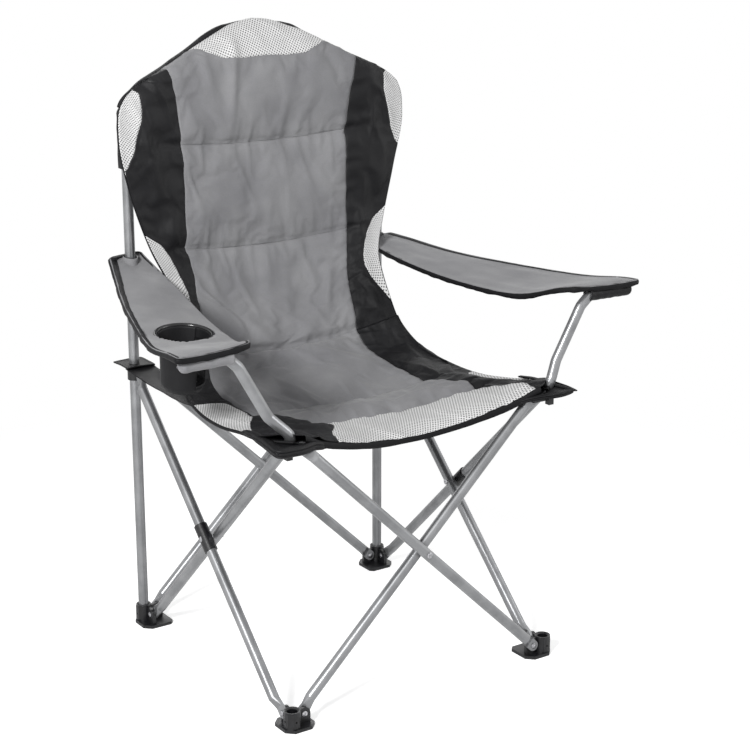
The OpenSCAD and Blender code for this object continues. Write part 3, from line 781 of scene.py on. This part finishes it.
def hemmed_patch(name, corners, drop, hem, thick, body, node, cells=(30, 30)):
    """Four-cornered black cloth with a raised hem. Its corners hang by drop, in millimetres."""
    wide = (Vector(corners[1]) - Vector(corners[0])).length
    deep = (Vector(corners[3]) - Vector(corners[0])).length

    def place(a, b):
        p = quad(corners, a, b)
        rim = min(a * wide, (1 - a) * wide, b * deep, (1 - b) * deep)
        raised = 1.1 * ease((hem - rim) / 0.0015) if rim < hem else 0.0
        groove = -0.5 * math.exp(-(((rim - hem) / 0.0012) ** 2))
        far = max(0.0, (abs(a - 0.5) + abs(b - 0.5)) * 2 - 0.9)
        wave = noise.noise(p * 40) * 0.8
        return p + Vector((0, 0, (raised + groove + wave - drop * far * far) / 1000))

    bm = mapped(cells, place, lambda a, b: (a * wide, b * deep))
    made = thicken(cloth_object(name, bm, black_cloth), thick)
    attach(made, body)
    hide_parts(node)
    return made


def placed(node):
    """Lowest and highest corner of a CAD node's box."""
    low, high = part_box(node)
    return Vector(low), Vector(high)


for word, side in (("left", -1), ("right", 1)):
    low, high = placed("patch_rear_" + word)
    corners = [(low.x, low.y, high.z), (high.x, low.y, high.z), (high.x, high.y, high.z),
        (low.x, high.y, high.z)]
    hemmed_patch("post_plate_" + word, corners, 1.0, 0.004, 0.0022, "slider_" + word,
        "patch_rear_" + word)
    low, high = placed("patch_front_" + word)
    z = high.z
    inner = Vector((side * 0.168, -0.163, z - 0.017))
    right = Vector((side * 0.183, -0.233, z - 0.007))
    tip = Vector((side * 0.262, -0.2545, z - 0.002))
    left = Vector((side * 0.251, -0.184, z + 0.001))
    corners = [left, tip, right, inner] if side < 0 else [inner, right, tip, left]
    hemmed_patch("corner_patch_" + word, corners, 2.0, 0.0045, 0.0018, "bracket_" + word,
        "patch_front_" + word, (44, 44))

    knots = [(249, -138, z * 1000 - 6), (251, -168, z * 1000 - 2), (256, -215, z * 1000 - 1),
        (259, -250, z * 1000 - 2), (226, -253, z * 1000 - 4), (188, -236, z * 1000 - 8),
        (164, -222, z * 1000 - 17), (146, -216, z * 1000 - 22)]
    fold_spots = []
    for i in range(91):
        f = i / 90 * (len(knots) - 1)
        here, ahead, back = (bow(knots, min(len(knots) - 1, max(0, f + d)))
            for d in (0, 0.1, -0.1))
        point = Vector((side * here[0], here[1], here[2])) / 1000
        along = Vector((side * (ahead[0] - back[0]), ahead[1] - back[1], 0))
        out = Vector((along.y, -along.x, 0)).normalized() * -side
        bulk = ease(i / 26) * ease((90 - i) / 26)
        point += out * (0.0016 * noise.noise(Vector((f * 1.7, side, 2))) - 0.002)
        deep = 1.0 if side < 0 else 0.6
        fold_spots.append((point, out * (0.6 + 0.4 * bulk),
            Vector((0, 0, deep * (0.4 + 0.6 * bulk)))))
    bundle = tape("corner_fold_" + word, fold_spots, [(-10, 0.3), (-4, 0.9), (0.6, 0.5), (2, -1),
        (1.4, -2.4), (-0.8, -3), (1.4, -3.5), (2.6, -5), (2, -6.6), (-0.4, -7.2), (1.2, -7.7),
        (1.8, -8.8), (0.6, -10), (-3, -10.4), (-8, -10)], black_cloth)
    thicken(bundle, 0.0009)
    fold_in([bundle], "seat_front")

    plate_low, plate_high = placed("patch_rear_" + word)

    def strap(a, b, side=side, low=plate_low, high=plate_high):
        inner, outer = sorted((abs(low.x), abs(high.x)))
        start = Vector((side * lerp(inner, outer, a), low.y + 0.006, low.z + 0.001))
        t = lerp(5.3, 4.0, a)
        end = sling(t, side * (edge_x(t) - 3)) + Vector((0, 0, 0.0015))
        sag = math.sin(math.pi * b) * (0.004 + 0.003 * math.sin(a * 3))
        return start.lerp(end, ease(b) * 0.3 + b * 0.7) - Vector((0, 0, sag)) + Vector(
            (0, 0, noise.noise(start.lerp(end, b) * 45) * 0.0012))

    bm = mapped((16, 44), strap, lambda a, b: (a * 0.044, b * 0.13))
    strip = thicken(cloth_object("gusset_cloth_" + word, bm, black_cloth), 0.0012)
    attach(strip, "slider_" + word)
    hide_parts("gusset_" + word)

# ---- Post pockets ---------------------------------------------------------------------------
# Closed sleeves of black polyester sewn to the back. The top of a post stands in each, and the
# cloth shows the tube's round form inside it.
for word, side in (("left", -1), ("right", 1)):
    low, high = placed("pocket_" + word)
    middle, back_y = (low.x + high.x) / 2, high.y - 0.011

    def sleeve(a, b, middle=middle, back_y=back_y, low=low, high=high):
        turn = lerp(-0.5, 1.5, a) * math.pi
        top = ease((b - 0.86) / 0.14)
        r = 0.0118 * (1 - 0.55 * top) + 0.0008 * noise.noise(Vector((a * 5, b * 7, 1)))
        y = math.sin(turn) * r
        x = math.cos(turn) * r * (1 + 0.25 * max(0, -math.sin(turn)))
        if y < 0:
            y = y * 2.1
        return Vector((middle + x, back_y + y, lerp(low.z - 0.012, high.z + 0.003, b)))

    bm = mapped((36, 30), sleeve, lambda a, b: (a * 0.09, b * 0.1), True)
    pocket = thicken(cloth_object("post_pocket_" + word, bm, black_cloth), 0.0008, 1.0)
    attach(pocket, "rear_" + word)
    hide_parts("pocket_" + word)

# ---- Armrests -------------------------------------------------------------------------------
# Grey polyester doubled over a thin layer of foam and bound all round with black tape. The rear
# loops over the post, and the front is sewn round the bent end of the arm tube.
ARM_IN = [(206, 243, 177), (198, 200, 161), (203, 110, 143), (222, 0, 130), (246, -120, 129),
    (268, -195, 149.5), (284, -224, 154.5)]
ARM_OUT = [(260, 240, 173), (272, 200, 163), (304, 110, 147), (341, 0, 142), (379, -120, 142),
    (393, -200, 151.5), (397, -236, 153.5)]
CUP_LOW, CUP_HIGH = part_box("cup_rim_ring")
CUP_AT = (Vector(CUP_LOW) + Vector(CUP_HIGH)) / 2
CUP_R = 0.0435  # hole in the armrest that the ring covers


def arm_point(side, t, u):
    """Top face of an armrest at station t from the rear and share u from its inner edge."""
    a, b = bow(ARM_IN, t), bow(ARM_OUT, t)
    rise = -side * 12 * max(0, 1 - t / 2.5) ** 2
    p = [q + (r - q) * u for q, r in zip(a, b)]
    return Vector((side * p[0], p[1], p[2] + rise + 1.7 - 10 * u * (1 - u))) / 1000 + Vector(
        (0, 0, TOP_H))


def arm_wide(t):
    a, b = bow(ARM_IN, t), bow(ARM_OUT, t)
    return math.hypot(b[0] - a[0], b[1] - a[1])


ROUND_REAR, ROUND_FRONT = 20, 16  # corner radii in millimetres
REAR_STEP, FRONT_STEP = 80, 55  # millimetres per station near the armrest's two ends


def arm_inset(t):
    """Millimetres by which the rounded corners narrow each side at station t."""
    for far, r in ((t * REAR_STEP, ROUND_REAR), ((6 - t) * FRONT_STEP, ROUND_FRONT)):
        if far < r:
            return r - math.sqrt(max(0, r * r - (r - far) ** 2))
    return 0.0


def arm_top(side):
    def place(a, b):
        t = 6 * b
        cut = arm_inset(t) / arm_wide(t)
        u = lerp(cut, 1 - cut, a)
        p = arm_point(side, t, u)
        rim = min(u, 1 - u) * arm_wide(t)
        rim = min(rim, t * REAR_STEP, (6 - t) * FRONT_STEP)
        foam = 2.2 * ease((rim - 8) / 24) - 0.5
        pull = noise.noise(Vector((t * 2.2, u * 4, side * 3))) * 1.6
        pull += noise.noise(Vector((t * 7, u * 5, side * 5 + 1))) * 1.2 * math.exp(-rim / 20)
        if side < 0:
            ring = (Vector((p.x, p.y)) - Vector((CUP_AT.x, CUP_AT.y))).length
            f = ease((ring - CUP_R) / 0.022)
            p.z = lerp(lerp(CUP_AT.z, p.z, 0.35), p.z, f)
        return p + Vector((0, 0, (foam + pull * ease((rim - 7) / 16)) / 1000))

    bm = mapped((64, 150), place, lambda a, b: (a * arm_wide(6 * b) / 1000, b * 0.48))
    if side < 0:
        inner = [v for v in bm.verts
            if (Vector((v.co.x, v.co.y)) - Vector((CUP_AT.x, CUP_AT.y))).length < CUP_R - 0.003]
        bmesh.ops.delete(bm, geom=inner, context="VERTS")
        for v in bm.verts:
            off = Vector((v.co.x - CUP_AT.x, v.co.y - CUP_AT.y))
            if off.length < CUP_R:
                off *= (CUP_R - 0.003) / off.length
                v.co.x, v.co.y = CUP_AT.x + off.x, CUP_AT.y + off.y
        bmesh.ops.reverse_faces(bm, faces=bm.faces)
    return thicken(cloth_object("arm_panel_" + ("left" if side < 0 else "right"), bm,
        grey_cloth), 0.0022)


def arm_rim(side):
    """Spots right round an armrest's rounded outline."""

    def cut(t):
        return arm_inset(t) / arm_wide(t)

    path = [(6 * i / 120, 1 - cut(6 * i / 120)) for i in range(121)]
    path += [(6, lerp(1 - cut(6), cut(6), i / 20)) for i in range(1, 20)]
    path += [(6 - 6 * i / 120, cut(6 - 6 * i / 120)) for i in range(121)]
    path += [(0, lerp(cut(0), 1 - cut(0), i / 10)) for i in range(1, 10)]
    path.append(path[0])
    points = [arm_point(side, t, u) for t, u in path]
    spots = []
    count = len(points) - 1
    for i, (t, u) in enumerate(path):
        ahead, back = points[(i + 1) % count], points[(i - 1) % count]
        along = (ahead - back).normalized()
        out = along.cross(Vector((0, 0, 1))).normalized() * (-1 if side > 0 else 1)
        spots.append((points[i], out, Vector((0, 0, 1)), t, u))
    return spots


for word, side in (("left", -1), ("right", 1)):
    panel = arm_top(side)
    body = "arm_tube_" + word
    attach(panel, body)
    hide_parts("armrest_" + word)

    rim_spots = []
    for p, out, up, t, u in arm_rim(side):
        outer = ease((u - 0.3) / 0.4)
        wide = lerp(0.75, lerp(1.5, 0.9, ease(t / 4)), outer)
        crimp = noise.noise(p * 42 + Vector((0, 0, side))) * 0.9
        crimp += noise.noise(p * 95) * 0.5
        rim_spots.append((p + out * (0.0004 + 0.0009 * crimp), out * wide,
            up * (1 + 0.22 * crimp)))
    binding = tape("arm_binding_" + word, rim_spots, [(-7.5, 0.5), (-7, 1.3), (-3, 1.6), (0, 1.1),
        (1.3, -1), (1.2, -3.6), (0.4, -6), (-2, -6.8), (-6, -5.5), (-7, -3)], black_tape, True)
    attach(binding, body)

    # The arm tube's top end is sleeved in a sock sewn under the armrest's front.
    low, high = placed("arm_bar_" + word)
    tube_z = high.z - 0.008
    end_x = (high.x if side > 0 else low.x)

    def sock(a, b, side=side, tube_z=tube_z, end_x=end_x):
        turn = a * 2 * math.pi
        x = lerp(side * 0.308, end_x + side * 0.004, b)
        close = ease((b - 0.88) / 0.12)
        r = 0.0088 * (1 - 0.93 * close ** 2) + 0.0006 * noise.noise(Vector((a * 4, b * 9, side)))
        flare = 1 + 0.1 * ease((0.1 - b) / 0.1)
        y = lerp(-0.2178, -0.222, b)
        return Vector((x, y + math.cos(turn) * r * flare, tube_z - 0.0004 +
            math.sin(turn) * r * flare * (0.96 if math.sin(turn) > 0 else 1.05)))

    bm = mapped((32, 40), sock, lambda a, b: (a * 0.06, b * 0.075), True)
    bmesh.ops.recalc_face_normals(bm, faces=bm.faces)
    cover = cloth_object("arm_sock_" + word, bm, grey_cloth if side < 0 else black_cloth)
    thicken(cover, 0.0008, 1.0)
    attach(cover, body)

    # Rear loop: a collar of grey cloth round the post, under the armrest's tail.
    post_low, post_high = placed("post_" + word)
    centre = (post_low + post_high) / 2
    top = arm_point(side, 0.35, 0.4).z

    def collar(a, b, centre=centre, top=top):
        turn = a * 2 * math.pi
        r = 0.0098 + 0.0009 * math.sin(b * math.pi) + 0.0007 * noise.noise(
            Vector((math.cos(turn), math.sin(turn), b * 3)))
        stretch = 1.35 if math.sin(turn) < 0 else 1.0
        z = top - 0.018 + 0.024 * b + 0.002 * math.sin(turn)
        return Vector((centre.x + math.cos(turn) * r * 1.05, centre.y + math.sin(turn) * r *
            stretch, z))

    bm = mapped((40, 12), collar, lambda a, b: (a * 0.07, b * 0.024), True)
    bmesh.ops.recalc_face_normals(bm, faces=bm.faces)
    loop = thicken(cloth_object("arm_loop_" + word, bm, grey_cloth), 0.0011, 1.0)
    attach(loop, "rear_" + word)

# ---- Cup holder -----------------------------------------------------------------------------
# A glossy plastic ring sewn into the left armrest, with a black cloth cup hung from it. The
# side towards the seat is an open net.
ring_black, tree, shader = surface("glossy moulded plastic", "141416", 0.22, IOR=1.5)
place = add_node(tree, "ShaderNodeTexCoord").outputs["Object"]
tree.links.new(mottled(tree, place, "1a1a1c", "0f0f11", 60), shader.inputs["Base Color"])
swirl = add_node(tree, "ShaderNodeTexNoise", [("Vector", place)], Scale=300, Detail=2)
relief(tree, shader, swirl.outputs[0], 0.0001, 0.3)
dress(ring_black, "cup_rim_ring")
CUP_TILT = Matrix.Rotation(math.radians(7), 3, "X")
CUP_DEEP = 0.0776
NET_FROM, NET_TO = -83, 35  # degrees round the cup from +X
LAYER = 0.0011  # thickness of the cup's cloth


def cup_spot(turn, deep):
    """Cup wall at an angle in degrees from +X and a depth from 0 at the ring to 1 at the floor."""
    r = lerp(0.0366, 0.0300, deep) - 0.0015 * math.sin(deep * math.pi)
    r *= 1 - 0.12 * ease((deep - 0.9) / 0.1)
    r += 0.0007 * noise.noise(Vector((math.cos(math.radians(turn)) * 2, math.sin(
        math.radians(turn)) * 2, deep * 2)))
    z = -CUP_DEEP * deep
    return CUP_AT + CUP_TILT @ Vector((r * math.cos(math.radians(turn)), r * math.sin(
        math.radians(turn)), z))


def cup_panel(name, turn0, turn1, deep0, deep1, cells):
    bm = mapped(cells, lambda a, b: cup_spot(lerp(turn0, turn1, a), lerp(deep0, deep1, b)),
        lambda a, b: (a * (turn1 - turn0) / 360 * 0.21, lerp(deep0, deep1, b) * 0.078))
    return cloth_object(name, bm, black_cloth)


wall = cup_panel("cup_wall", NET_TO, 360 + NET_FROM, 0, 1, (70, 26))
thicken(wall, LAYER)
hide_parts("cup_net")
cuff = thicken(cup_panel("cup_cuff", NET_FROM, NET_TO, 0, 0.2, (40, 8)), LAYER)
foot_band = thicken(cup_panel("cup_foot", NET_FROM, NET_TO, 0.86, 1, (40, 6)), LAYER)


def cup_base(a, b):
    """The floor: from its middle (b = 0) out to the wall's lower end."""
    centre = CUP_AT + CUP_TILT @ Vector((0, 0, -CUP_DEEP))
    return centre.lerp(cup_spot(a * 360, 1), b)


bm = mapped((60, 12), cup_base, lambda a, b: (a * 0.2, b * 0.03), True)
floor_cloth = thicken(cloth_object("cup_floor", bm, black_cloth), LAYER)
net_bm = mapped((22, 12), lambda a, b: cup_spot(lerp(NET_FROM, NET_TO, a), lerp(0.19, 0.87, b)),
    lambda a, b: (a * 0.08, b * 0.055))
net = cloth_object("cup_net_window", net_bm, black_tape)
strands = net.modifiers.new("strands", "WIREFRAME")
strands.thickness, strands.offset = 0.0008, 0
strands.use_even_offset = False
for piece in (wall, cuff, foot_band, floor_cloth, net):
    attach(piece, "arm_tube_left")
